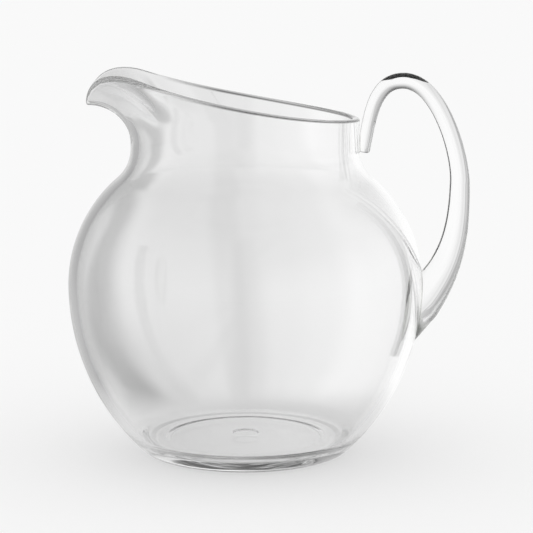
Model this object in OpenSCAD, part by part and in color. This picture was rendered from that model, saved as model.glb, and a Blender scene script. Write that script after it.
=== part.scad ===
// Clear ball pitcher: a moulded jug with a ball-shaped body, a short neck with a
// slanted rim, a broad pouring lip and a tapered rod handle that is cemented on.
// The origin is on the ball's axis at the table, +Z is up, the lip points to -X
// and the handle to +X.

/* [Ball] */
// Largest radius of the ball
ball_radius = 95; // [88:0.5:104]
// Height of the ball's widest circle above the table
equator_height = 92; // [84:0.5:100]
// Radius of the side's arc above the widest circle
shoulder_arc = 75.5; // [70:0.5:82]
// Radius of the side's arc below the widest circle
belly_arc = 122; // [112:0.5:134]
// Wall thickness of the ball and the neck
wall = 4.4; // [3:0.1:6]

/* [Foot] */
// Radius of the rounding between the ball and the table
foot_round = 14; // [8:0.5:18]
// Width of the flat ring that stands on the table
foot_ring = 3.7; // [2:0.1:8]
// Height of the inner floor above the table
floor_height = 10; // [7:0.5:14]
// Radius of the rounding between the inner floor and the wall
floor_round = 14; // [8:0.5:20]
// Depth of the round recess under the floor
recess_depth = 1; // [0.6:0.1:3]
// Width of the sloping edge of the recess
recess_slope = 3.5; // [2:0.1:8]
// Radius of the round moulding mark in the middle of the inner floor
gate_radius = 7; // [4:0.5:12]
// Depth of the round moulding mark
gate_depth = 0.6; // [0.3:0.1:1.5]

/* [Neck and rim] */
// Outer radius of the neck
neck_radius = 61; // [56:0.1:66]
// Radius of the hollow curve between the ball and the neck
neck_fillet = 22; // [14:0.5:30]
// Height of the rim above the start of the neck, on the ball's axis
neck_length = 24.4; // [20:0.1:34]
// Fall of the rim towards the handle, as a share of the length
rim_fall_share = 0.184; // [0.1:0.001:0.22]
// Radius of the rim's upward sweep, seen from the side
rim_sweep = 700; // [500:10:2000]
// Height of the rim's rounded edge
rim_round = 1.2; // [0.6:0.1:2]

/* [Pouring lip] */
// Distance that the lip's tip stands out from the neck
lip_reach = 22.2; // [16:0.1:30]
// Radius of the lip's round plan
lip_radius = 56; // [48:0.5:60]
// Width of the blend between the lip's plan and the neck
lip_blend = 12; // [6:0.5:16]
// Depth of the lip's tip below the line of the rim
lip_drop = 21; // [16:0.1:24]
// Angle from the lip's middle to its crest, in degrees
lip_crest_angle = 36.5; // [30:0.5:44]
// Height above the start of the neck where the lip begins to lean out
throat_start = 2.2; // [1.5:0.1:5]
// Wall thickness at the lip's tip
lip_wall = 3.4; // [2.4:0.1:4.4]

/* [Handle] */
// Rod thickness at the tip on the neck
handle_tip = 6.7; // [5:0.1:9]
// Rod thickness at the top of the loop
handle_grip = 9; // [8:0.1:12]
// Rod thickness at the foot on the ball
handle_foot = 23.5; // [18:0.1:28]
// Distance from the neck to the loop's highest point
handle_top_out = 23.1; // [18:0.1:28]
// Height of the loop's highest point above the rim on the ball's axis
handle_rise = 10.7; // [6:0.1:18]
// Distance from the neck to the loop's outermost point
handle_reach = 54.2; // [48:0.1:62]
// Distance of the tip's end below the start of the neck
tip_overhang = 3.2; // [1:0.1:5]
// Distance of the foot's middle below the ball's widest circle
foot_drop = 10.5; // [5:0.1:20]
// Lean of the rod where it enters the foot, in degrees from upright
foot_lean = 40.7; // [30:0.1:46]
// Thickness of the cement between the handle and the body
bond = 0.3; // [0.2:0.05:0.6]

/* [Hidden] */
$fn = 96;

// Overrun of every cut past the face it opens
overrun = 1;
// Sides of the lofted neck and lip, their gathering towards the lip in degrees, and rings up its wall
rim_sides = 108;
lip_gather_angle = 20;
wall_rings = 10;
// Facets across the rounded edge of the rim
edge_facets = 4;
// Sides of the turned form that cuts the handle's seats
seat_sides = 240;
// Inset of the loft's lowest ring, inside the wall that carries it
seam_inset = 0.1;
// Sides of the handle's section, and rings along each of its three curves
rod_sides = 28;
curve_rings = 20;
// Depth that the tip's round section is cut away to fit the neck
tip_sink = 1.5;
// Length of the rounded end of the tip
tip_round = 1.4;
// Steps of angle and length share that measure the slope of the lofted wall
probe_angle = 0.4;
probe_share = 0.01;
// Rounding of the lip's middle, in degrees, and shape of its rise to the crest
notch_round_angle = 4.4;
notch_power = 2.1;
// Pull of the curves' inner control points
pull_share = 0.55;
// Share of the throat's height that the revolved collar takes up
collar_share = 0.6;
// Share of the tip's section left on its end face
tip_face_share = 0.72;
// Height of the loop's outermost point between its foot and its top
bulge_share = 0.541;
// Places of the control points between the tip and the loop's top, across and up
tip_lean_shares = [0.153, 0.239];
tip_rise_share = 0.473;
// Places of the control points between the loop's top and its outermost point
crown_share = 0.622;
drop_share = 0.302;
// Pull of the curve into the foot, below the outermost point and along the lean
hang_share = 0.469;
entry_share = 0.366;
// Stretches of the rod's length that thin towards the tip and swell towards the foot
tip_taper_share = 0.5;
foot_swell_share = 0.789;
// Shape of the thinning and of the swelling
tip_power = 1.4;
swell_power = 3.86;
// Stretches of the rod that reach the neck and the ball
upper_seat_share = 0.3;
lower_seat_share = 0.8;

// Start of the neck: the hollow curve touches the shoulder's arc and the neck
shoulder_x = ball_radius - shoulder_arc;
belly_x = ball_radius - belly_arc;
fillet_x = neck_radius + neck_fillet;
fillet_reach = shoulder_arc + neck_fillet;
fillet_rise = sqrt(pow(fillet_reach, 2) - pow(fillet_x - shoulder_x, 2));
neck_base = equator_height + fillet_rise;
collar_top = neck_base + throat_start * collar_share;
throat_height = neck_base + throat_start;
rim_height = neck_base + neck_length;
lip_centre = neck_radius + lip_reach - lip_radius;

// Foot: the rounding touches the belly's arc and the table
foot_flat = belly_x + sqrt(pow(belly_arc - foot_round, 2) - pow(equator_height - foot_round, 2));
recess_radius = foot_flat - foot_ring;

// Key points of the handle's middle line, in the plane of the lip and the handle
tip_point = [neck_radius + bond + handle_tip / 2 - tip_sink, neck_base - tip_overhang];
top_point = [neck_radius + handle_top_out, rim_height + handle_rise];
foot_height = equator_height - foot_drop;
foot_point = [belly_x + sqrt(pow(belly_arc, 2) - pow(foot_drop, 2)), foot_height];
bulge_point = [neck_radius + handle_reach, foot_height + bulge_share * (top_point[1] - foot_height)];
entry = [sin(foot_lean), cos(foot_lean)];
foot_end = foot_point - 2 * handle_foot * entry;
drop_height = bulge_point[1] - foot_height;

function mix(a, b, t) = a + (b - a) * t;
function unit(v) = v / norm(v);
function bezier(a, b, c, d, t) =
    pow(1 - t, 3) * a + 3 * t * pow(1 - t, 2) * b + 3 * t * t * (1 - t) * c + pow(t, 3) * d;
function smooth_max(a, b, width) = max(a, b) + pow(max(width - abs(a - b), 0), 2) / (4 * width);

// Radius of the rim seen from above, at an angle from the middle of the lip
function lip_plan(a) =
    lip_centre * cos(a) + sqrt(max(0, pow(lip_radius, 2) - pow(lip_centre * sin(a), 2)));
function rim_radius(a) = smooth_max(neck_radius, lip_plan(a), lip_blend);
// Height of the rim's line, falling from the lip to the handle
function rim_line(x) = rim_height - rim_fall_share * x + x * x / (2 * rim_sweep);
// Depth of the lip's notch, as a share, falling from its rounded middle to its crest
function turn(a) = a > 180 ? a - 360 : a;
function notch(a) =
    let (spread = norm([turn(a), notch_round_angle]) - notch_round_angle)
    pow(max(0, 1 - spread / lip_crest_angle), notch_power);
function edge_height(a) = rim_line(-rim_radius(a) * cos(a)) - rim_round - lip_drop * notch(a);
// Share of the lip's full reach at an angle, one at the tip and none on the plain neck
function lean(a) = min(1, (rim_radius(a) - neck_radius) / lip_reach);
function edge_slope(a) = 90 * (1 - pow(lean(a), 2));
// Outer surface of the neck and lip: a curve that starts upright and ends at the rim
function wall_curve(a, t) =
    let (r = rim_radius(a), z = edge_height(a), slope = edge_slope(a), rise = z - throat_height)
    let (pull = pull_share * ((r - neck_radius) * cos(slope) + rise * sin(slope)))
    bezier(
        [neck_radius, throat_height],
        [neck_radius, throat_height + pull_share * rise],
        [r - pull * cos(slope), z - pull * sin(slope)],
        [r, z],
        t);
function wall_point(a, t) = let (p = wall_curve(a, t)) [-p[0] * cos(a), p[0] * sin(a), p[1]];
function inward(a, t) =
    let (low = max(0, t - probe_share), high = min(1, t + probe_share))
    unit(cross(
        wall_point(a + probe_angle, t) - wall_point(a - probe_angle, t),
        wall_point(a, high) - wall_point(a, low)));
function wall_at(a, t) = mix(wall, lip_wall, lean(a) * t);
function inner_point(a, t) = wall_point(a, t) + wall_at(a, t) * inward(a, t);
function seam_point(a, r) = [-r * cos(a), r * sin(a), neck_base];
// Rounded edge between the outer and the inner surface
function edge_point(a, b) =
    let (outside = wall_point(a, 1), inside = inner_point(a, 1))
    let (out = unit(outside - wall_point(a, 1 - probe_share)))
    (outside + inside) / 2 + cos(b) * (outside - inside) / 2 + rim_round * sin(b) * out;
// One closed section of the neck's wall, up the outside, over the rim and down the inside
function wall_section(a) = concat(
    [seam_point(a, neck_radius - seam_inset)],
    [for (k = [0 : wall_rings]) wall_point(a, k / wall_rings)],
    [for (k = [1 : edge_facets - 1]) edge_point(a, 180 * k / edge_facets)],
    [for (k = [wall_rings : -1 : 0]) inner_point(a, k / wall_rings)],
    [seam_point(a, neck_radius - wall + seam_inset)]);

// Triangles between neighbouring rings of points, where each ring is closed
function band(first, second, count) = [
    for (k = [0 : count - 1])
    let (a = first + k, b = first + (k + 1) % count, c = second + k, d = second + (k + 1) % count)
    each [[a, c, b], [b, c, d]]];

// Middle line of the handle, from the tip to its end inside the ball
function tip_curve(t) =
    let (span = top_point - tip_point)
    bezier(
        tip_point,
        tip_point + [tip_lean_shares[0] * span[0], tip_rise_share * span[1]],
        [tip_point[0] + tip_lean_shares[1] * span[0], top_point[1]],
        top_point,
        t);
function crown_curve(t) =
    let (span = bulge_point - top_point)
    bezier(
        top_point,
        top_point + [crown_share * span[0], 0],
        bulge_point - [0, drop_share * span[1]],
        bulge_point,
        t);
function hang_curve(t) =
    bezier(
        bulge_point,
        bulge_point - [0, hang_share * drop_height],
        foot_point + entry_share * drop_height * entry,
        foot_point,
        t);
rod_line = concat(
    [for (k = [0 : curve_rings - 1]) tip_curve(k / curve_rings)],
    [for (k = [0 : curve_rings - 1]) crown_curve(k / curve_rings)],
    [for (k = [0 : curve_rings]) hang_curve(k / curve_rings)],
    [foot_end]);
rod_rings = len(rod_line);

// Rod thickness at a share of its length: thin tip, even grip, swelling foot
function rod_thickness(t) =
    handle_grip
    - (handle_grip - handle_tip) * pow(max(0, 1 - t / tip_taper_share), tip_power)
    + (handle_foot - handle_grip) * pow(max(0, 1 - (1 - t) / foot_swell_share), swell_power);
function rod_share(k) = min(1, k / (rod_rings - 2));
function rod_direction(k) = unit(rod_line[min(k + 1, rod_rings - 1)] - rod_line[max(k - 1, 0)]);
function rod_ring(k, size) =
    let (p = rod_line[k], d = rod_direction(k), r = size / 2)
    [for (j = [0 : rod_sides - 1])
        let (b = 360 * j / rod_sides)
        [p[0] + r * cos(b) * d[1], r * sin(b), p[1] - r * cos(b) * d[0]]];
function lowered(points, depth) = [for (p = points) p - [0, 0, depth]];

// Half outline of the jug, grown outwards by a thickness and closed by a rounded floor
module jug_outline(grow, floor_level, corner, top) {
    belly = belly_arc + grow;
    shoulder = shoulder_arc + grow;
    corner_z = floor_level + corner;
    corner_x = belly_x + sqrt(pow(belly - corner, 2) - pow(equator_height - corner_z, 2));
    corner_reach_share = belly / (belly - corner);
    side = [
        belly_x + (corner_x - belly_x) * corner_reach_share,
        equator_height - (equator_height - corner_z) * corner_reach_share];
    join_share = shoulder / fillet_reach;
    join = [shoulder_x + (fillet_x - shoulder_x) * join_share, equator_height + fillet_rise * join_share];
    polygon([[0, floor_level], [corner_x, floor_level], side, [0, equator_height]]);
    translate([corner_x, corner_z])
        circle(r = corner);
    intersection() {
        union() {
            translate([belly_x, equator_height])
                circle(r = belly);
            translate([0, equator_height])
                square([ball_radius + overrun, join[1] - equator_height]);
        }
        union() {
            translate([shoulder_x, equator_height])
                circle(r = shoulder);
            translate([0, side[1]])
                square([ball_radius + overrun, equator_height - side[1]]);
        }
        translate([0, side[1]])
            square([ball_radius + overrun, join[1] - side[1]]);
    }
    difference() {
        translate([0, equator_height])
            square([join[0], neck_base - equator_height]);
        translate([fillet_x, neck_base])
            circle(r = neck_fillet - grow);
    }
    polygon([[0, equator_height], [neck_radius + grow, neck_base], [neck_radius + grow, top], [0, top]]);
}

// Solid of the jug's outer form, grown by the cement, that cuts the handle's seats
module seat_form(grow, top) {
    rotate_extrude($fn = seat_sides)
        jug_outline(grow, 0, foot_round, top);
}

// Ball, floor and collar of the neck, turned as one shell
module turned_shell() {
    difference() {
        rotate_extrude()
            difference() {
                jug_outline(0, 0, foot_round, collar_top);
                jug_outline(-wall, floor_height, floor_round, collar_top + overrun);
            }
        translate([0, 0, -overrun])
            cylinder(r = recess_radius, h = overrun);
        cylinder(r1 = recess_radius, r2 = recess_radius - recess_slope, h = recess_depth);
        translate([0, 0, floor_height - gate_depth])
            cylinder(r = gate_radius, h = gate_depth + overrun);
    }
}

// Neck, slanted rim and pouring lip, lofted through closed sections of the wall
module lofted_neck() {
    turns = [for (i = [0 : rim_sides - 1]) 360 * i / rim_sides];
    sections = [for (a = turns) wall_section(a - lip_gather_angle * sin(a))];
    count = len(sections[0]);
    polyhedron(
        points = [for (s = sections) each s],
        faces = [
            for (i = [0 : rim_sides - 1])
            each band(count * i, count * ((i + 1) % rim_sides), count)],
        convexity = 6);
}

// Tapered rod of the handle, with a rounded end at the tip, before its seats are cut
module handle_rod(first, last) {
    tip = first == 0 ? [rod_ring(0, tip_face_share * rod_thickness(0))] : [];
    start = first == 0 ? [lowered(rod_ring(0, rod_thickness(0)), -tip_round)] : [];
    rings = concat(
        tip,
        start,
        [for (k = [max(first, 1) : last]) rod_ring(k, rod_thickness(rod_share(k)))]);
    end = rod_sides * (len(rings) - 1);
    polyhedron(
        points = [for (r = rings) each r],
        faces = concat(
            [[for (j = [0 : rod_sides - 1]) j]],
            [for (k = [0 : len(rings) - 2]) each band(rod_sides * k, rod_sides * (k + 1), rod_sides)],
            [[for (j = [rod_sides - 1 : -1 : 0]) end + j]]),
        convexity = 6);
}

// Film of cement between the body and a stretch of the rod
module cement_film(first, last) {
    intersection() {
        handle_rod(first, last);
        difference() {
            seat_form(bond, rim_line(neck_radius) - rim_round);
            seat_form(0, rim_height);
        }
    }
}

module body() {
    color("azure", 0.4) {
        turned_shell();
        lofted_neck();
    }
}

module handle() {
    color("whitesmoke", 0.5)
        difference() {
            handle_rod(0, rod_rings - 1);
            seat_form(bond, rim_height + handle_rise);
        }
}

module upper_bond() {
    color("ivory", 0.6)
        cement_film(0, ceil(upper_seat_share * rod_rings));
}

module lower_bond() {
    color("ivory", 0.6)
        cement_film(floor(lower_seat_share * rod_rings), rod_rings - 1);
}

body();
handle();
upper_bond();
lower_bond();
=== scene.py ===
"""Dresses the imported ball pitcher: clear acrylic pieces, a pale studio and the photograph's camera."""

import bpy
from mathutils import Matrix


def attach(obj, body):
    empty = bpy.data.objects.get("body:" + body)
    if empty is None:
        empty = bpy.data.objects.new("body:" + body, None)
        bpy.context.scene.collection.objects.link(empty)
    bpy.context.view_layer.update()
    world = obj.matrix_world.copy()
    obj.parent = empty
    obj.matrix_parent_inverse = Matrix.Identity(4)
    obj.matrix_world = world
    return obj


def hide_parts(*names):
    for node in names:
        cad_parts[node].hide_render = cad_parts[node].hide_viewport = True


bl_info = {
    "name": "Clear Ball Pitcher",
    "version": (1, 0, 0),
    "blender": (4, 5, 0),
    "location": "View3D > Sidebar > Pitcher",
    "description": "Clear acrylic ball pitcher with a cemented rod handle, in a small studio",
    "category": "Add Mesh",
}

import math

import bmesh
import bpy
from bpy.props import FloatProperty, IntProperty, PointerProperty, StringProperty
from mathutils import Vector

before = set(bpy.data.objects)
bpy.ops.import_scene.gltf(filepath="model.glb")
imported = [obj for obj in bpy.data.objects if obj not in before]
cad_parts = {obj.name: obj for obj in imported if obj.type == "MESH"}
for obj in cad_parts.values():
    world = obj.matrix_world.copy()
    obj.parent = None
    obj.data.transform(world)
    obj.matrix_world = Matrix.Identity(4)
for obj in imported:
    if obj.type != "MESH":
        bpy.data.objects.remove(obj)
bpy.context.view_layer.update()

MM = 0.001
PHOTO_PIXELS = 533

# Innermost ring of a turned form, which a fan of faces closes on the axis
AXIS_GAP = 0.5 * MM
# Edges of a cut piece that turn by more than this stay sharp
SHARP_ANGLE = math.radians(32)


def length(name, description, millimetres):
    return FloatProperty(
        name=name, description=description, default=millimetres * MM, unit="LENGTH", precision=5)


def share(name, description, default):
    return FloatProperty(name=name, description=description, default=default, subtype="FACTOR", precision=3)


def angle(name, description, degrees):
    return FloatProperty(name=name, description=description, default=math.radians(degrees), unit="ROTATION")


def colour(name, description, default):
    return StringProperty(name=name, description=description + ", as an sRGB hex value", default=default)


class BallSizes(bpy.types.PropertyGroup):
    ball_radius: length("Ball radius", "Largest radius of the ball", 94.96)
    equator_height: length("Equator height", "Height of the ball's widest circle above the table", 92)
    shoulder_arc: length("Shoulder arc", "Radius of the side's arc above the widest circle", 75.5)
    belly_arc: length("Belly arc", "Radius of the side's arc below the widest circle", 122)
    wall: length("Wall", "Wall thickness of the ball and the neck", 4.4)
    foot_round: length("Foot rounding", "Radius between the ball and the table", 14)
    foot_ring: length("Foot ring", "Width of the flat ring that stands on the table", 3.7)
    floor_height: length("Floor height", "Height of the inner floor above the table", 10)
    floor_round: length("Floor rounding", "Radius between the inner floor and the wall", 14)
    recess_depth: length("Recess depth", "Depth of the round recess under the floor", 1)
    recess_slope: length("Recess slope", "Width of the sloping edge of the recess", 3.5)
    gate_radius: length("Gate radius", "Radius of the round moulding mark on the inner floor", 7)
    gate_depth: length("Gate depth", "Depth of the round moulding mark", 0.6)
    neck_radius: length("Neck radius", "Outer radius of the neck", 61)
    neck_fillet: length("Neck fillet", "Radius of the hollow curve between the ball and the neck", 22)
    neck_length: length("Neck length", "Height of the rim above the start of the neck, on the axis", 24.36)
    rim_fall: share("Rim fall", "Fall of the rim towards the handle for each unit of length", 0.184)
    rim_sweep: length("Rim sweep", "Radius of the rim's upward sweep, seen from the side", 700)
    rim_round: length("Rim rounding", "Height of the rim's rounded edge", 1.2)
    lip_reach: length("Lip reach", "Distance that the lip's tip stands out from the neck", 22.2)
    lip_radius: length("Lip radius", "Radius of the lip's round plan", 56)
    lip_blend: length("Lip blend", "Width of the blend between the lip's plan and the neck", 12)
    lip_drop: length("Lip drop", "Depth of the lip's tip below the line of the rim", 21)
    lip_crest: angle("Lip crest", "Angle from the lip's middle to its crest", 36.5)
    throat_start: length("Throat start", "Height in the neck where the lip begins to lean out", 2.2)
    lip_wall: length("Lip wall", "Wall thickness at the lip's tip", 3.4)
    sides: IntProperty(name="Sides", description="Facets round the axis", default=240, min=48)


class HandleSizes(bpy.types.PropertyGroup):
    tip: length("Tip", "Rod thickness at the tip on the neck", 6.7)
    grip: length("Grip", "Rod thickness at the top of the loop", 9)
    foot: length("Foot", "Rod thickness at the foot on the ball", 23.5)
    top_out: length("Top distance", "Distance from the neck to the loop's highest point", 23.1)
    rise: length("Rise", "Height of the loop's highest point above the rim", 10.6)
    reach: length("Reach", "Distance from the neck to the loop's outermost point", 54.15)
    tip_overhang: length("Tip overhang", "Distance of the tip's end below the start of the neck", 3.2)
    tip_sink: length("Tip sink", "Depth that the tip is cut away to fit the neck", 1.5)
    foot_drop: length("Foot drop", "Distance of the foot's middle below the ball's widest circle", 10.5)
    foot_lean: angle("Foot lean", "Lean of the rod where it enters the foot", 40.7)
    bond: length("Bond", "Thickness of the cement between the handle and the body", 0.3)
    wetting: length("Wetting", "Depth that the cement runs into both of its faces", 0.06)
    sides: IntProperty(name="Sides", description="Facets round the rod", default=64, min=16)
    rings: IntProperty(name="Rings", description="Rings along each of the rod's curves", default=56, min=8)


class PitcherFinish(bpy.types.PropertyGroup):
    acrylic: colour("Acrylic", "Tint of the clear acrylic", "#FDFDFD")
    # Painted shade: the dark colour mixed in at the rim's borders, for lines where light is trapped in the
    # wall, and at the foot for its contact shadow
    edge: colour("Edge", "Tint of the acrylic at the edges of the rim and the foot", "#303030")
    cement: colour("Cement", "Tint of the cured cement", "#F1F2EF")
    ior: FloatProperty(name="Refraction", description="Refractive index of acrylic", default=1.49)
    ripple: length("Ripple", "Spacing of the faint ripples that the mould leaves", 34)
    haze: length("Haze", "Spacing of the patches of fine handling haze", 9)
    specks: length("Specks", "Spacing of the fine bubbles in the cement", 1.2)


class StudioSettings(bpy.types.PropertyGroup):
    floor: colour("Floor", "Pale floor", "#F4F4F4")
    backdrop: colour("Backdrop", "White backdrop", "#FFFFFF")
    flag: colour("Flag", "Black cards at the handle", "#0A0A0A")
    camera_across: length("Camera across", "Distance of the camera from the axis, across the view", 11.356)
    camera_away: length("Camera away", "Distance of the camera from the axis, along the view", 1100)
    camera_height: length("Camera height", "Height of the camera above the table", 276.54)
    camera_pitch: angle("Camera pitch", "Downward tilt of the camera", 9.053)
    camera_turn: angle("Camera turn", "Turn of the camera round the ball's axis", 2.0)
    focal_pixels: FloatProperty(
        name="Focal length", description="Focal length in photograph pixels", default=2069.6)


def mix(a, b, t):
    return a + (b - a) * t


def bezier(a, b, c, d, t):
    s = 1 - t
    return s * s * s * a + 3 * t * s * s * b + 3 * t * t * s * c + t * t * t * d


def arc(centre, radius, start, end, steps):
    turn = [mix(start, end, k / steps) for k in range(steps + 1)]
    return [Vector((centre[0] + radius * math.cos(b), centre[1] + radius * math.sin(b))) for b in turn]


def straight(a, b, spacing):
    steps = max(1, math.ceil((b - a).length / spacing))
    return [a.lerp(b, k / steps) for k in range(steps + 1)]


def rounded(corners, spacing, steps=6):
    """Path through corners of (point, rounding), with short straight stretches between the roundings."""
    path, last = [], Vector(corners[0][0])
    for (before, _), (here, size), (after, _) in zip(corners, corners[1:], corners[2:]):
        here = Vector(here)
        back, on = (Vector(before) - here).normalized(), (Vector(after) - here).normalized()
        first, second = here + size * back, here + size * on
        path += straight(last, first, spacing)
        for k in range(1, steps):
            t = k / steps
            path.append(mix(mix(first, here, t), mix(here, second, t), t))
        last = second
    return path + straight(last, Vector(corners[-1][0]), spacing)


def turned(p, a):
    """Point of a section, turned round the axis to an angle from the lip's middle."""
    return Vector((-p.x * math.cos(a), p.x * math.sin(a), p.y))


class JugForm:
    """Curves of the jug, worked out from its named sizes."""

    # Roundings of the recess, at its top and at the foot ring
    recess_rounds = (0.9 * MM, 0.6 * MM)
    # Rounding of the lip's middle, and shape of its rise to the crest
    notch_round = math.radians(4.4)
    notch_power = 2.1
    # Pull of the inner control points of the neck's curves
    pull_share = 0.55
    # Steps of angle and of length share that measure the slope of the neck's wall
    probe_turn = math.radians(0.4)
    probe_share = 0.01
    # Rings up each face of the neck's wall, and steps over the rounded rim
    wall_rings = 36
    rim_steps = 10
    # Angle from the lip's middle where the painted dark line on the rim's edge starts to show, and angle over
    # which it grows
    painted_line_start = math.radians(48)
    painted_line_growth = math.radians(30)
    # Points of the foot's rounding that carry painted contact shadow, and how dark it is painted
    foot_shadow_points = range(3, 7)
    foot_painted_shadow = 0.4

    def __init__(self, s):
        self.s = s
        self.shoulder_x = s.ball_radius - s.shoulder_arc
        self.belly_x = s.ball_radius - s.belly_arc
        self.fillet_x = s.neck_radius + s.neck_fillet
        fillet_reach = s.shoulder_arc + s.neck_fillet
        self.fillet_rise = math.sqrt(fillet_reach ** 2 - (self.fillet_x - self.shoulder_x) ** 2)
        self.neck_base = s.equator_height + self.fillet_rise
        self.throat = self.neck_base + s.throat_start
        self.rim_height = self.neck_base + s.neck_length
        self.lip_centre = s.neck_radius + s.lip_reach - s.lip_radius

    def turns(self):
        return [2 * math.pi * i / self.s.sides for i in range(self.s.sides)]

    def corner(self, grow, level, size):
        """Centre of the rounding between a floor and the belly."""
        z = level + size
        reach = self.s.belly_arc + grow - size
        return self.belly_x + math.sqrt(reach ** 2 - (self.s.equator_height - z) ** 2), z

    def side(self, grow, level, size):
        """Side of the jug from its floor to the start of the neck, grown outwards by a thickness."""
        s = self.s
        x, z = self.corner(grow, level, size)
        low = math.atan2(z - s.equator_height, x - self.belly_x)
        high = math.atan2(self.fillet_rise, self.fillet_x - self.shoulder_x)
        hollow = s.neck_fillet - grow
        return (
            arc((x, z), size, -math.pi / 2, low, steps=12)
            + arc((self.belly_x, s.equator_height), s.belly_arc + grow, low, 0, steps=44)[1:]
            + arc((self.shoulder_x, s.equator_height), s.shoulder_arc + grow, 0, high, steps=34)[1:]
            + arc((self.fillet_x, self.neck_base), hollow, high + math.pi, math.pi, steps=14)[1:]
        )

    def underside(self):
        """Underside from the axis to the foot: the recess, its sloping edge and the foot ring."""
        s = self.s
        foot_flat = self.corner(0, 0, s.foot_round)[0]
        recess = foot_flat - s.foot_ring
        top_round, ring_round = self.recess_rounds
        return rounded([
            ((AXIS_GAP, s.recess_depth), 0),
            ((recess - s.recess_slope, s.recess_depth), top_round),
            ((recess, 0), ring_round),
            ((foot_flat, 0), 0),
        ], spacing=2 * MM)

    def inner_floor(self, edge):
        """Inner floor from the axis to its rounded edge, with the sunken moulding mark in its middle."""
        s = self.s
        deep = s.floor_height - s.gate_depth
        step = s.gate_depth / 2
        return rounded([
            ((AXIS_GAP, deep), 0),
            ((s.gate_radius - step, deep), step),
            ((s.gate_radius, s.floor_height), step),
            (edge, 0),
        ], spacing=2.5 * MM)

    def rim_radius(self, a):
        """Radius of the rim: the neck's circle and the lip's circle, blended where they meet."""
        s = self.s
        across = self.lip_centre * math.sin(a)
        lip = self.lip_centre * math.cos(a) + math.sqrt(max(0, s.lip_radius ** 2 - across ** 2))
        near = max(s.lip_blend - abs(s.neck_radius - lip), 0)
        return max(s.neck_radius, lip) + near ** 2 / (4 * s.lip_blend)

    def rim_line(self, x):
        return self.rim_height - self.s.rim_fall * x + x * x / (2 * self.s.rim_sweep)

    def edge_height(self, a):
        """Height where the rim's rounding starts, with the lip's dip to its tip."""
        s = self.s
        off_tip = math.hypot(math.remainder(a, 2 * math.pi), self.notch_round) - self.notch_round
        notch = max(0, 1 - off_tip / s.lip_crest) ** self.notch_power
        return self.rim_line(-self.rim_radius(a) * math.cos(a)) - s.rim_round - s.lip_drop * notch

    def lean(self, a):
        return min(1, (self.rim_radius(a) - self.s.neck_radius) / self.s.lip_reach)

    def wall_point(self, a, t):
        """Outer surface of the neck and lip: a curve that starts upright and ends at the rim."""
        s = self.s
        r, z = self.rim_radius(a), self.edge_height(a)
        slope = math.pi / 2 * (1 - self.lean(a) ** 2)
        rise = z - self.throat
        pull = self.pull_share * ((r - s.neck_radius) * math.cos(slope) + rise * math.sin(slope))
        p = bezier(
            Vector((s.neck_radius, self.throat)),
            Vector((s.neck_radius, self.throat + self.pull_share * rise)),
            Vector((r - pull * math.cos(slope), z - pull * math.sin(slope))),
            Vector((r, z)), t)
        return turned(p, a)

    def inner_point(self, a, t):
        """Inner surface of the neck and lip, a wall's thickness in from the outer one and square to it."""
        step, turn = self.probe_share, self.probe_turn
        across = self.wall_point(a + turn, t) - self.wall_point(a - turn, t)
        along = self.wall_point(a, min(1, t + step)) - self.wall_point(a, max(0, t - step))
        thick = mix(self.s.wall, self.s.lip_wall, self.lean(a) * t)
        return self.wall_point(a, t) + thick * across.cross(along).normalized()

    def neck_wall(self, a):
        """Wall of the neck at an angle: up the outside, over the rounded rim and down the inside."""
        rings, steps = self.wall_rings, self.rim_steps
        up = [self.wall_point(a, k / rings) for k in range(rings + 1)]
        down = [self.inner_point(a, k / rings) for k in range(rings, -1, -1)]
        outside, inside = up[-1], down[0]
        top = (outside - self.wall_point(a, 1 - self.probe_share)).normalized() * self.s.rim_round
        over = []
        for k in range(1, steps):
            b = math.pi * k / steps
            over.append((outside + inside) / 2 + math.cos(b) * (outside - inside) / 2 + math.sin(b) * top)
        return up + over + down

    def section(self, a):
        """Section of the body at an angle, from the axis under the floor to the axis on the inner floor."""
        s = self.s
        outer = self.underside()[:-1] + self.side(0, 0, s.foot_round)
        inner = self.side(-s.wall, s.floor_height, s.floor_round)
        floor = self.inner_floor(inner[0])[:-1]
        return (
            [turned(p, a) for p in outer]
            + self.neck_wall(a)
            + [turned(p, a) for p in reversed(floor + inner)]
        )

    def edges(self, a, count):
        """How much painted shade each point of a section carries, from 0 to 1: the rim's two borders and the
        foot.
        """
        foot = len(self.underside()) - 1
        rim = foot + len(self.side(0, 0, self.s.foot_round)) + self.wall_rings
        off_lip = abs(math.remainder(a, 2 * math.pi)) - self.painted_line_start
        grown = min(1, max(0, off_lip / self.painted_line_growth))
        out = [0.0] * count
        for k in range(self.rim_steps + 1):
            out[rim + k] = grown * abs(2 * k / self.rim_steps - 1)
        for k in self.foot_shadow_points:
            out[foot + k] = self.foot_painted_shadow
        return out

    def outline(self, grow, top):
        """Closed outer form, grown by a thickness, as a path from the axis to the axis."""
        s = self.s
        side = self.side(grow, 0, s.foot_round)
        return [Vector((AXIS_GAP, 0))] + side + [Vector((s.neck_radius + grow, top)), Vector((AXIS_GAP, top))]


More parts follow.
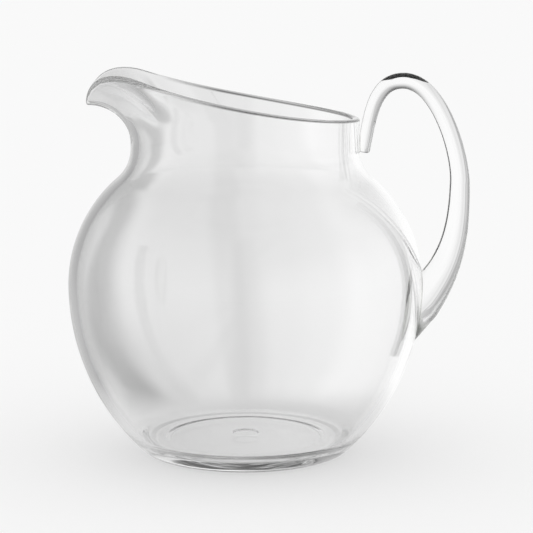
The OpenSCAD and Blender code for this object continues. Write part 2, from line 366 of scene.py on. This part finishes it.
class RodForm:
    """Middle line and thickness of the handle's rod, from the tip to its end inside the ball."""

    # Height of the loop's outermost point between its foot and its top
    bulge_share = 0.541
    # Places of the control points between the tip and the loop's top, across and up
    tip_lean_shares = (0.153, 0.239)
    tip_rise_share = 0.473
    # Places of the control points between the loop's top and its outermost point
    crown_share = 0.622
    drop_share = 0.302
    # Pull of the curve into the foot, below the outermost point and along the lean
    hang_share = 0.469
    entry_share = 0.366
    # Stretches of the rod's length that thin towards the tip and swell towards the foot, and their shapes
    tip_taper_share, tip_power = 0.5, 1.4
    foot_swell_share, swell_power = 0.789, 3.86
    # Rounding of the tip's end, its steps, and how many roundings further on the plain rings start
    tip_round = 1.4 * MM
    tip_steps = 5
    tip_clear = 1.6

    def __init__(self, h, jug):
        s = jug.s
        self.h = h
        self.tip = Vector((
            s.neck_radius + h.bond + h.tip / 2 - h.tip_sink,
            jug.neck_base - h.tip_overhang))
        self.top = Vector((s.neck_radius + h.top_out, jug.rim_height + h.rise))
        foot_z = s.equator_height - h.foot_drop
        self.foot = Vector((jug.belly_x + math.sqrt(s.belly_arc ** 2 - h.foot_drop ** 2), foot_z))
        self.bulge = Vector((s.neck_radius + h.reach, mix(foot_z, self.top.y, self.bulge_share)))
        self.entry = Vector((math.sin(h.foot_lean), math.cos(h.foot_lean)))

    def line(self):
        n = self.h.rings
        tip, top, bulge, foot = self.tip, self.top, self.bulge, self.foot
        up, out, drop = top - tip, bulge - top, bulge.y - foot.y
        low_lean, high_lean = self.tip_lean_shares
        curves = [
            (tip,
             tip + Vector((low_lean * up.x, self.tip_rise_share * up.y)),
             Vector((tip.x + high_lean * up.x, top.y)),
             top),
            (top,
             top + Vector((self.crown_share * out.x, 0)),
             bulge - Vector((0, self.drop_share * out.y)),
             bulge),
            (bulge,
             bulge - Vector((0, self.hang_share * drop)),
             foot + self.entry_share * drop * self.entry,
             foot),
        ]
        points = [bezier(*c, k / n) for c in curves for k in range(n)]
        return points + [foot, foot - 2 * self.h.foot * self.entry]

    def thickness(self, t):
        h = self.h
        thin = max(0, 1 - t / self.tip_taper_share) ** self.tip_power
        swell = max(0, 1 - (1 - t) / self.foot_swell_share) ** self.swell_power
        return h.grip - (h.grip - h.tip) * thin + (h.foot - h.grip) * swell

    def rings(self):
        """Rings of the rod as (middle, direction, thickness), with a rounded end at the tip."""
        points = self.line()
        last = len(points) - 1
        plain = []
        for k, p in enumerate(points):
            d = (points[min(k + 1, last)] - points[max(k - 1, 0)]).normalized()
            plain.append((p, d, self.thickness(min(1, k / (last - 1)))))
        p, d, size = plain[0]
        end = []
        for k in range(self.tip_steps):
            b = math.pi / 2 * k / self.tip_steps
            middle = p + self.tip_round * (1 - math.sin(b)) * d
            end.append((middle, d, size - 2 * self.tip_round * (1 - math.cos(b))))
        past = [ring for ring in plain[1:] if (ring[0] - p).length > self.tip_clear * self.tip_round]
        return end[::-1] + past


def lathe_mesh(name, sections):
    """Closed mesh from sections round the axis, each running from the axis to the axis."""
    count, total = len(sections[0]), len(sections)
    points = [p for section in sections for p in section]
    low, high = len(points), len(points) + 1
    points += [Vector((0, 0, sections[0][0].z)), Vector((0, 0, sections[0][-1].z))]
    faces = []
    for i in range(total):
        a, b = i * count, ((i + 1) % total) * count
        faces.append((low, b, a))
        faces += [(a + k, b + k, b + k + 1, a + k + 1) for k in range(count - 1)]
        faces.append((high, a + count - 1, b + count - 1))
    return finished_mesh(name, points, faces)


def rod_mesh(name, rings, sides):
    """Closed mesh from rings of (middle, direction, thickness) in the plane of the handle."""
    points = []
    for p, d, size in rings:
        for j in range(sides):
            b = 2 * math.pi * j / sides
            out, across = size / 2 * math.cos(b), size / 2 * math.sin(b)
            points.append(Vector((p.x + out * d.y, across, p.y - out * d.x)))
    faces = [tuple(range(sides)), tuple(reversed(range(len(points) - sides, len(points))))]
    for k in range(len(rings) - 1):
        a, b = k * sides, (k + 1) * sides
        faces += [(a + j, b + j, b + (j + 1) % sides, a + (j + 1) % sides) for j in range(sides)]
    return finished_mesh(name, points, faces)


def finished_mesh(name, points, faces):
    mesh = bpy.data.meshes.new(name)
    mesh.from_pydata([tuple(p) for p in points], [], faces)
    mesh.validate()
    outward(mesh)
    mesh.shade_smooth()
    return mesh


def outward(mesh):
    form = bmesh.new()
    form.from_mesh(mesh)
    bmesh.ops.recalc_face_normals(form, faces=form.faces)
    form.to_mesh(mesh)
    form.free()


def new_object(name, mesh):
    piece = bpy.data.objects.new(name, mesh)
    bpy.context.scene.collection.objects.link(piece)
    return piece


def trim(piece, *cuts):
    """Cuts the piece by (mesh, operation) pairs and keeps the result as its own mesh."""
    for mesh, operation in cuts:
        tool = new_object("tool", mesh)
        modifier = piece.modifiers.new("trim", "BOOLEAN")
        modifier.object, modifier.operation, modifier.solver = tool, operation, "EXACT"
        graph = bpy.context.evaluated_depsgraph_get()
        result = bpy.data.meshes.new_from_object(piece.evaluated_get(graph))
        piece.modifiers.clear()
        old, piece.data = piece.data, result
        result.name = piece.name
        bpy.data.meshes.remove(old)
        bpy.data.objects.remove(tool)
        bpy.data.meshes.remove(mesh)
    if not piece.data.polygons:
        raise RuntimeError(piece.name + " came out empty")
    piece.data.shade_smooth()
    piece.data.set_sharp_from_angle(angle=SHARP_ANGLE)


def turned_form(jug, grow, top):
    """Closed form of the jug's outside, grown by a thickness, that cuts the handle and its cement."""
    path = jug.outline(grow, top)
    return lathe_mesh("form", [[turned(p, a) for p in path] for a in jug.turns()])


def linear(hex_value):
    """Linear colour of an sRGB hex value."""
    parts = [int(hex_value[k:k + 2], 16) / 255 for k in (1, 3, 5)]
    return [c / 12.92 if c <= 0.04045 else ((c + 0.055) / 1.055) ** 2.4 for c in parts] + [1.0]


def add(tree, kind, inputs=(), **settings):
    """Adds a node with its settings, links or sets each of its inputs, and gives back its outputs."""
    made = tree.nodes.new(kind)
    for name, value in settings.items():
        setattr(made, name, value)
    for key, value in dict(inputs).items():
        if isinstance(value, bpy.types.NodeSocket):
            tree.links.new(value, made.inputs[key])
        else:
            made.inputs[key].default_value = value
    return made.outputs


def new_material(name):
    material = bpy.data.materials.new(name)
    material.use_nodes = True
    material.node_tree.nodes.clear()
    return material, material.node_tree


def clear_acrylic(finish):
    """Moulded and polished acrylic: water clear, with Fresnel gloss and ripples that only highlights show.

    The edges of the rim and the foot carry painted shade: dark lines where little light comes through the
    rim, and a painted contact shadow at the foot.
    """
    material, tree = new_material("clear_moulded_acrylic")
    place = add(tree, "ShaderNodeTexCoord")["Object"]
    ripple = add(tree, "ShaderNodeTexNoise", {
        "Vector": place, "Scale": 1 / finish.ripple, "Detail": 1.0})["Fac"]
    haze = add(tree, "ShaderNodeTexNoise", {
        "Vector": place, "Scale": 1 / finish.haze, "Detail": 4.0})["Fac"]
    rough = add(tree, "ShaderNodeMapRange", {
        "Value": haze, "From Min": 0.35, "From Max": 0.75, "To Min": 0.0, "To Max": 0.018})["Result"]
    bump = add(tree, "ShaderNodeBump", {
        "Height": ripple, "Strength": 0.12, "Distance": 1.0 * MM})["Normal"]
    # Painted shade: the 'edge' share of each point darkens the rim's borders and the foot
    edge = add(tree, "ShaderNodeAttribute", attribute_name="edge")["Fac"]
    tint_and_painted_shade = add(tree, "ShaderNodeMix", {
        0: edge, 6: linear(finish.acrylic), 7: linear(finish.edge)}, data_type="RGBA")[2]
    shader = add(tree, "ShaderNodeBsdfPrincipled", {
        "Roughness": rough, "Normal": bump, "Base Color": tint_and_painted_shade,
        "Transmission Weight": 1.0, "IOR": finish.ior})["BSDF"]
    add(tree, "ShaderNodeOutputMaterial", {"Surface": shader})
    return material


def cured_cement(finish):
    """Solvent cement cured between two acrylic faces: clear, faintly hazy, with specks where it bubbled."""
    material, tree = new_material("cured_acrylic_cement")
    place = add(tree, "ShaderNodeTexCoord")["Object"]
    specks = add(tree, "ShaderNodeTexNoise", {
        "Vector": place, "Scale": 1 / finish.specks, "Detail": 3.0})["Fac"]
    rough = add(tree, "ShaderNodeMapRange", {
        "Value": specks, "From Min": 0.4, "From Max": 0.7, "To Min": 0.02, "To Max": 0.22})["Result"]
    bump = add(tree, "ShaderNodeBump", {
        "Height": specks, "Strength": 0.25, "Distance": 0.2 * MM})["Normal"]
    shader = add(tree, "ShaderNodeBsdfPrincipled", {
        "Roughness": rough, "Normal": bump, "Base Color": linear(finish.cement),
        "Transmission Weight": 1.0, "IOR": finish.ior})["BSDF"]
    add(tree, "ShaderNodeOutputMaterial", {"Surface": shader})
    return material


def material_once(name, make, *args):
    return bpy.data.materials.get(name) or make(*args)


def dress(piece, node_name, material):
    piece.data.materials.clear()
    piece.data.materials.append(material)
    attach(piece, "root")
    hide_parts(node_name)


class PITCHER_OT_body(bpy.types.Operator):
    """Ball, neck, slanted rim, pouring lip and recessed foot as one clear moulding"""
    bl_idname = "pitcher.body"
    bl_label = "Pitcher body"

    def execute(self, context):
        jug = JugForm(context.scene.pitcher_ball)
        turns = jug.turns()
        sections = [jug.section(a) for a in turns]
        mesh = lathe_mesh("pitcher_body", sections)
        # Painted shade, stored per point: dark lines on the rim's borders and a contact shadow at the foot
        edge = mesh.attributes.new("edge", "FLOAT", "POINT")
        for k, value in enumerate(value for a in turns for value in jug.edges(a, len(sections[0]))):
            edge.data[k].value = value
        dress(new_object("pitcher_body", mesh), "body",
              material_once("clear_moulded_acrylic", clear_acrylic, context.scene.pitcher_finish))
        return {"FINISHED"}


class PITCHER_OT_handle(bpy.types.Operator):
    """Tapered rod handle, cut to sit on the neck and on the ball"""
    bl_idname = "pitcher.handle"
    bl_label = "Rod handle"

    def execute(self, context):
        jug = JugForm(context.scene.pitcher_ball)
        sizes = context.scene.pitcher_handle
        rod = RodForm(sizes, jug)
        piece = new_object("rod_handle", rod_mesh("rod_handle", rod.rings(), sizes.sides))
        trim(piece, (turned_form(jug, sizes.bond, jug.rim_height + sizes.rise), "DIFFERENCE"))
        dress(piece, "handle",
              material_once("clear_moulded_acrylic", clear_acrylic, context.scene.pitcher_finish))
        return {"FINISHED"}


class PITCHER_OT_bonds(bpy.types.Operator):
    """Films of cured cement between the handle and the body"""
    bl_idname = "pitcher.bonds"
    bl_label = "Cement films"

    def execute(self, context):
        jug = JugForm(context.scene.pitcher_ball)
        sizes = context.scene.pitcher_handle
        rings = RodForm(sizes, jug).rings()
        material = material_once("cured_acrylic_cement", cured_cement, context.scene.pitcher_finish)
        top = jug.rim_line(jug.s.neck_radius) - jug.s.rim_round
        third = len(rings) // 3
        for name, part in (("upper_bond", rings[:third]), ("lower_bond", rings[2 * third:])):
            piece = new_object("cement_" + name, rod_mesh("cement_" + name, part, sizes.sides))
            trim(piece,
                 (turned_form(jug, sizes.bond + sizes.wetting, top), "INTERSECT"),
                 (turned_form(jug, -sizes.wetting, top + sizes.rise), "DIFFERENCE"))
            dress(piece, name, material)
        return {"FINISHED"}


class PITCHER_OT_studio(bpy.types.Operator):
    """Pale floor, lit surroundings, black cards at the handle and the camera"""
    bl_idname = "pitcher.studio"
    bl_label = "Studio"

    def execute(self, context):
        scene, settings = context.scene, context.scene.pitcher_studio
        build_floor(settings)
        build_world(scene, settings)
        for name, corners in FLAGS.items():
            build_flag(name, corners, settings)
        build_camera(scene, settings)
        scene.view_settings.view_transform = "Standard"
        # Light that runs round inside the clear walls needs many bounces
        scene.cycles.max_bounces = LIGHT_BOUNCES
        scene.cycles.transmission_bounces = LIGHT_BOUNCES
        scene.cycles.glossy_bounces = LIGHT_BOUNCES
        scene.cycles.transparent_max_bounces = CARD_BOUNCES
        return {"FINISHED"}


LIGHT_BOUNCES = 200
CARD_BOUNCES = 16

# The studio's lists hold (place, brightness) stops, and its lengths are in metres
# Brightness round the pitcher, by degrees from straight behind it, left negative
ROUND = [
    (-180, 0.35), (-176, 0.36), (-167, 0.92), (-140, 0.94), (-122, 0.9), (-106, 0.95), (-92, 0.97),
    (-84, 0.8), (-78, 0.6), (-68, 0.6), (-58, 0.7), (-46, 0.72), (-36, 0.72), (-26, 0.68), (-18, 0.82),
    (-10, 0.97), (-4, 1.0), (60, 1.0), (100, 0.97), (140, 0.94), (167, 0.92), (176, 0.36), (180, 0.35),
]
# Brightness of the painted bands of light on the floor behind the pitcher, by metres across them
ACROSS = [
    (-0.80, 0.60), (-0.55, 0.70), (-0.42, 0.80), (-0.36, 0.78), (-0.28, 0.56), (-0.24, 0.58),
    (-0.17, 0.88), (-0.12, 0.84), (-0.035, 0.84), (-0.014, 0.785), (0.012, 0.785), (0.032, 0.845),
    (0.08, 0.89), (0.15, 0.93), (0.22, 1.02), (0.60, 1.02),
]
# The bands start behind the pitcher, where they lie closest together, and further back they fan out
BANDS_START = 0.12
BANDS_CLOSE = 0.35
BANDS_FAN = 1.5
BANDS_FAN_EASE = 1.2
# Painted shadow under the pitcher: brightness of the floor there as glass and gloss see it, and the distances
# from the axis over which it gives way
PAINTED_SHADOW_UNDER_PITCHER = 0.74
UNDER_START, UNDER_END = 0.07, 0.16
# Share of the floor's look that is its own light, to the camera and to glass and gloss
LIT_TO_CAMERA = 0.6
LIT_TO_GLASS = 0.95
FLOOR_HALF = 14.0
FLOOR_DROP = 0.2 * MM
# Surroundings from the horizon up, by the height of a direction, and from left to right
SKY_LOW, SKY_HIGH = 0.05, 0.8
SKY_TOP = 0.06
SKY_LEFT = 0.62
SKY_MIDDLE = 0.1
# Corners of the black cards
FLAGS = {
    "flag_behind_handle": [
        (0.078, 0.004, 0.194), (0.095, 0.004, 0.194), (0.089, 0.022, 0.194), (0.083, 0.022, 0.194)],
    "flag_beside_handle": [
        (0.17, 0.012, 0.01), (0.17, 0.012, 0.24), (0.17, 0.045, 0.24), (0.17, 0.045, 0.01)],
}


def brightness(tree, value, stops):
    """Smooth brightness along a value, through (value, brightness) stops."""
    low, high = stops[0][0], stops[-1][0]
    along = add(tree, "ShaderNodeMapRange", {"Value": value, "From Min": low, "From Max": high})["Result"]
    tone = add(tree, "ShaderNodeValToRGB", {"Fac": along})["Color"]
    ramp = tone.node.color_ramp
    ramp.interpolation = "EASE"
    for place, bright in stops[1:-1]:
        ramp.elements.new((place - low) / (high - low)).color = (bright, bright, bright, 1)
    for end in (0, -1):
        bright = stops[end][1]
        ramp.elements[end].color = (bright, bright, bright, 1)
    return tone


def round_light(tree, place):
    """Brightness of the studio in the direction of a place, as glass and gloss see it."""
    turn = add(tree, "ShaderNodeMath", {0: place["X"], 1: place["Y"]}, operation="ARCTAN2")["Value"]
    degrees = add(tree, "ShaderNodeMath", {0: turn}, operation="DEGREES")["Value"]
    return brightness(tree, degrees, ROUND)


def build_floor(settings):
    """Pale paper floor: matt white with the pitcher's soft shadow, and to glass and gloss a glow in painted
    bands of light.
    """
    half, low = FLOOR_HALF, -FLOOR_DROP
    corners = [Vector((x * half, y * half, low)) for x, y in ((-1, -1), (1, -1), (1, 1), (-1, 1))]
    mesh = finished_mesh("studio_floor", corners, [(0, 1, 2, 3)])
    floor = new_object("studio_floor", mesh)
    material, tree = new_material("pale_paper_floor")
    path = add(tree, "ShaderNodeLightPath")
    spot = add(tree, "ShaderNodeNewGeometry")["Position"]
    place = add(tree, "ShaderNodeSeparateXYZ", {0: spot})
    reach = add(tree, "ShaderNodeVectorMath", {0: spot}, operation="LENGTH")["Value"]
    back = add(tree, "ShaderNodeMath", {0: place["Y"], 1: BANDS_START}, operation="MAXIMUM")["Value"]
    flat = add(tree, "ShaderNodeMath", {
        0: back, 1: BANDS_FAN, 2: BANDS_FAN_EASE}, operation="SMOOTH_MIN")["Value"]
    drawn = add(tree, "ShaderNodeMath", {0: flat, 1: back}, operation="DIVIDE")["Value"]
    over = add(tree, "ShaderNodeMath", {0: place["X"], 1: drawn}, operation="MULTIPLY")["Value"]
    close = add(tree, "ShaderNodeMath", {0: BANDS_CLOSE, 1: flat}, operation="DIVIDE")["Value"]
    across = add(tree, "ShaderNodeMath", {0: over, 1: close, 2: over}, operation="MULTIPLY_ADD")["Value"]
    swept = add(tree, "ShaderNodeMath", {
        0: brightness(tree, across, ACROSS), 1: round_light(tree, place)}, operation="MULTIPLY")["Value"]
    outside = add(tree, "ShaderNodeMapRange", {
        "Value": reach, "From Min": UNDER_START, "From Max": UNDER_END},
        interpolation_type="SMOOTHSTEP")["Result"]
    # Painted shadow under the pitcher, giving way to the painted bands of light further out
    lit = add(tree, "ShaderNodeMix", {0: outside, 2: PAINTED_SHADOW_UNDER_PITCHER, 3: swept})[0]
    through = add(tree, "ShaderNodeMath", {
        0: path["Is Transmission Ray"], 1: path["Is Glossy Ray"]}, operation="MAXIMUM")["Value"]
    seen = add(tree, "ShaderNodeMath", {
        0: path["Is Camera Ray"], 1: LIT_TO_CAMERA}, operation="MULTIPLY")["Value"]
    mirrored = add(tree, "ShaderNodeMath", {0: through, 1: LIT_TO_GLASS}, operation="MULTIPLY")["Value"]
    paper = add(tree, "ShaderNodeBsdfDiffuse", {"Color": linear(settings.floor)})["BSDF"]
    backdrop = linear(settings.backdrop)
    white = add(tree, "ShaderNodeEmission", {"Color": backdrop, "Strength": 1.0})["Emission"]
    bands = add(tree, "ShaderNodeEmission", {"Color": backdrop, "Strength": lit})["Emission"]
    first = add(tree, "ShaderNodeMixShader", {0: seen, 1: paper, 2: white})["Shader"]
    second = add(tree, "ShaderNodeMixShader", {0: mirrored, 1: first, 2: bands})["Shader"]
    add(tree, "ShaderNodeOutputMaterial", {"Surface": second})
    mesh.materials.append(material)


def build_world(scene, settings):
    """Surroundings: white to the camera and as light, and to glass and gloss darker above and on the left."""
    world = bpy.data.worlds.new("studio_world")
    scene.world = world
    world.use_nodes = True
    tree = world.node_tree
    tree.nodes.clear()
    path = add(tree, "ShaderNodeLightPath")
    look = add(tree, "ShaderNodeSeparateXYZ", {0: add(tree, "ShaderNodeTexCoord")["Generated"]})
    above = add(tree, "ShaderNodeMapRange", {
        "Value": look["Z"], "From Min": SKY_LOW, "From Max": SKY_HIGH,
        "To Min": 1.0, "To Max": SKY_TOP}, interpolation_type="SMOOTHSTEP")["Result"]
    sides = add(tree, "ShaderNodeMapRange", {
        "Value": look["X"], "From Min": -SKY_MIDDLE, "From Max": SKY_MIDDLE,
        "To Min": SKY_LEFT, "To Max": 1.0}, interpolation_type="SMOOTHSTEP")["Result"]
    ring = add(tree, "ShaderNodeMath", {0: round_light(tree, look), 1: above}, operation="MULTIPLY")["Value"]
    glow = add(tree, "ShaderNodeMath", {0: ring, 1: sides}, operation="MULTIPLY")["Value"]
    backdrop = linear(settings.backdrop)
    white = add(tree, "ShaderNodeBackground", {"Color": backdrop, "Strength": 1.0})["Background"]
    soft = add(tree, "ShaderNodeBackground", {"Color": backdrop, "Strength": glow})["Background"]
    plain = add(tree, "ShaderNodeMath", {
        0: path["Is Camera Ray"], 1: path["Is Diffuse Ray"]}, operation="MAXIMUM")["Value"]
    both = add(tree, "ShaderNodeMixShader", {0: plain, 1: soft, 2: white})["Shader"]
    add(tree, "ShaderNodeOutputWorld", {"Surface": both})


def build_flag(name, corners, settings):
    """Black card, unseen by the camera, whose front face draws a dark line in the clear rod."""
    mesh = bpy.data.meshes.new(name)
    mesh.from_pydata(corners, [], [(0, 1, 2, 3)])
    card = new_object(name, mesh)
    card.visible_camera = card.visible_diffuse = card.visible_shadow = False
    material, tree = new_material(name + "_card")
    back = add(tree, "ShaderNodeNewGeometry")["Backfacing"]
    black = add(tree, "ShaderNodeBsdfDiffuse", {"Color": linear(settings.flag)})["BSDF"]
    clear = add(tree, "ShaderNodeBsdfTransparent")["BSDF"]
    face = add(tree, "ShaderNodeMixShader", {0: back, 1: black, 2: clear})["Shader"]
    add(tree, "ShaderNodeOutputMaterial", {"Surface": face})
    mesh.materials.append(material)


def build_camera(scene, settings):
    data = bpy.data.cameras.new("photo_camera")
    camera = bpy.data.objects.new("photo_camera", data)
    scene.collection.objects.link(camera)
    data.sensor_width = 36.0
    data.lens = settings.focal_pixels * data.sensor_width / PHOTO_PIXELS
    data.clip_start, data.clip_end = 0.01, 50.0
    turn = settings.camera_turn
    x, y = settings.camera_across, -settings.camera_away
    camera.location = (
        x * math.cos(turn) + y * math.sin(turn),
        -x * math.sin(turn) + y * math.cos(turn),
        settings.camera_height)
    camera.rotation_euler = (math.pi / 2 - settings.camera_pitch, 0, -turn)
    scene.camera = camera


class VIEW3D_PT_pitcher(bpy.types.Panel):
    bl_idname = "VIEW3D_PT_pitcher"
    bl_label = "Clear Ball Pitcher"
    bl_space_type = "VIEW_3D"
    bl_region_type = "UI"
    bl_category = "Pitcher"

    def draw(self, context):
        for operator in OPERATORS:
            self.layout.operator(operator.bl_idname)
        for name, group in GROUPS.items():
            box = self.layout.box()
            box.label(text=group.__name__)
            for key in group.__annotations__:
                box.prop(getattr(context.scene, name), key)


GROUPS = {
    "pitcher_ball": BallSizes,
    "pitcher_handle": HandleSizes,
    "pitcher_finish": PitcherFinish,
    "pitcher_studio": StudioSettings,
}
OPERATORS = [PITCHER_OT_studio, PITCHER_OT_body, PITCHER_OT_handle, PITCHER_OT_bonds]


def register():
    for name, group in GROUPS.items():
        bpy.utils.register_class(group)
        setattr(bpy.types.Scene, name, PointerProperty(type=group))
    for cls in OPERATORS + [VIEW3D_PT_pitcher]:
        bpy.utils.register_class(cls)


def unregister():
    for cls in [VIEW3D_PT_pitcher] + OPERATORS[::-1]:
        bpy.utils.unregister_class(cls)
    for name, group in reversed(GROUPS.items()):
        delattr(bpy.types.Scene, name)
        bpy.utils.unregister_class(group)


def main():
    register()
    bpy.ops.pitcher.studio()
    bpy.ops.pitcher.body()
    bpy.ops.pitcher.handle()
    bpy.ops.pitcher.bonds()


if __name__ == "__main__":
    main()
